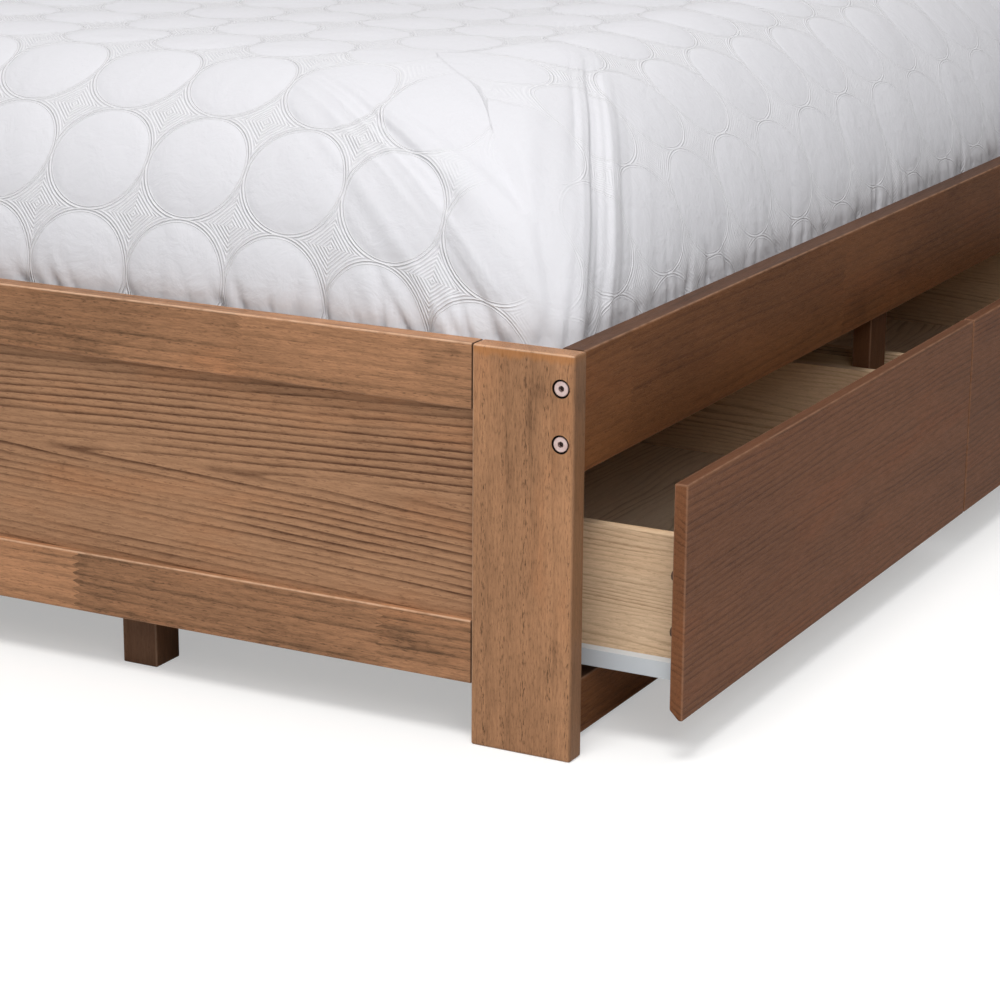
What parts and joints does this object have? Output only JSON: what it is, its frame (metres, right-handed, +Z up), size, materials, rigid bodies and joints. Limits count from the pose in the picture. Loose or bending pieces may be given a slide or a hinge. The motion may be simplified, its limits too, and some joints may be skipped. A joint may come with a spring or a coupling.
{
  "type": "platform bed",
  "caption": "Walnut frame-and-panel platform bed with sliding storage drawers along one side, slats and a quilted mattress.",
  "frame": {"origin": "on the floor under the centre leg, at the middle of the frame's width and length", "axes": "+Z up, +Y towards the headboard, +X towards the side with the drawers"},
  "size_m": [1.66, 2.082, 0.98],
  "materials": {
    "walnut": "satin stained walnut brown",
    "dark_walnut": "satin, darker stain",
    "ash_panel": "satin stained veneer with flat-sawn figure",
    "drawer_front": "satin, reddish brown stain",
    "light_oak": "matt oak-grain laminate",
    "white_enamel": "smooth epoxy enamel",
    "pine": "planed, unfinished",
    "copper_zinc": "copper-tinted zinc plate",
    "quilted_cotton": "quilted cotton cover, stitched"
  },
  "bodies": {
    "frame": {"centre_beam": "pine", "centre_leg": "pine", "divider_1": "walnut", "divider_2": "walnut", "fixed_slide_1_foot": "white_enamel", "fixed_slide_1_head": "white_enamel", "fixed_slide_2_foot": "white_enamel", "fixed_slide_2_head": "white_enamel", "fixed_slide_3_foot": "white_enamel", "fixed_slide_3_head": "white_enamel", "foot_bottom_rail": "walnut", "foot_cross_board": "pine", "foot_leg_left": "walnut", "foot_leg_right": "walnut", "foot_panel": "ash_panel", "foot_post_left": "walnut", "foot_post_right": "walnut", "foot_top_rail": "walnut", "head_bottom_rail": "walnut", "head_cross_board": "pine", "head_leg_left": "walnut", "head_leg_right": "walnut", "head_panel": "ash_panel", "head_post_left": "walnut", "head_post_right": "walnut", "head_top_rail": "walnut", "inner_beam": "pine", "lower_rail": "dark_walnut", "rail_bolt_lower": "copper_zinc", "rail_bolt_upper": "copper_zinc", "runner_board_1": "pine", "runner_board_2": "pine", "side_rail_left": "dark_walnut", "side_rail_right": "dark_walnut", "slat_deck": "pine", "stile_foot": "walnut", "stile_head": "walnut"},
    "drawer_1": {"drawer_1_back": "light_oak", "drawer_1_bottom": "light_oak", "drawer_1_front": "drawer_front", "drawer_1_side_foot": "light_oak", "drawer_1_side_head": "light_oak", "drawer_1_slide_foot": "white_enamel", "drawer_1_slide_head": "white_enamel"},
    "drawer_2": {"drawer_2_back": "light_oak", "drawer_2_bottom": "light_oak", "drawer_2_front": "drawer_front", "drawer_2_side_foot": "light_oak", "drawer_2_side_head": "light_oak", "drawer_2_slide_foot": "white_enamel", "drawer_2_slide_head": "white_enamel"},
    "drawer_3": {"drawer_3_back": "light_oak", "drawer_3_bottom": "light_oak", "drawer_3_front": "drawer_front", "drawer_3_side_foot": "light_oak", "drawer_3_side_head": "light_oak", "drawer_3_slide_foot": "white_enamel", "drawer_3_slide_head": "white_enamel"},
    "mattress": {"mattress": "quilted_cotton"}
  },
  "joints": [
    {"name": "drawer_1_pull", "type": "slide", "parent": "frame", "child": "drawer_1", "axis": [1, 0, 0], "range_m": [-0.082, 0.258]},
    {"name": "drawer_2_pull", "type": "slide", "parent": "frame", "child": "drawer_2", "axis": [1, 0, 0], "range_m": [-0.082, 0.258]},
    {"name": "drawer_3_pull", "type": "slide", "parent": "frame", "child": "drawer_3", "axis": [1, 0, 0], "range_m": [0, 0.34]},
    {"name": "mattress_lift", "type": "slide", "parent": "frame", "child": "mattress", "axis": [0, 0, 1], "range_m": [0, 0.3]}
  ]
}
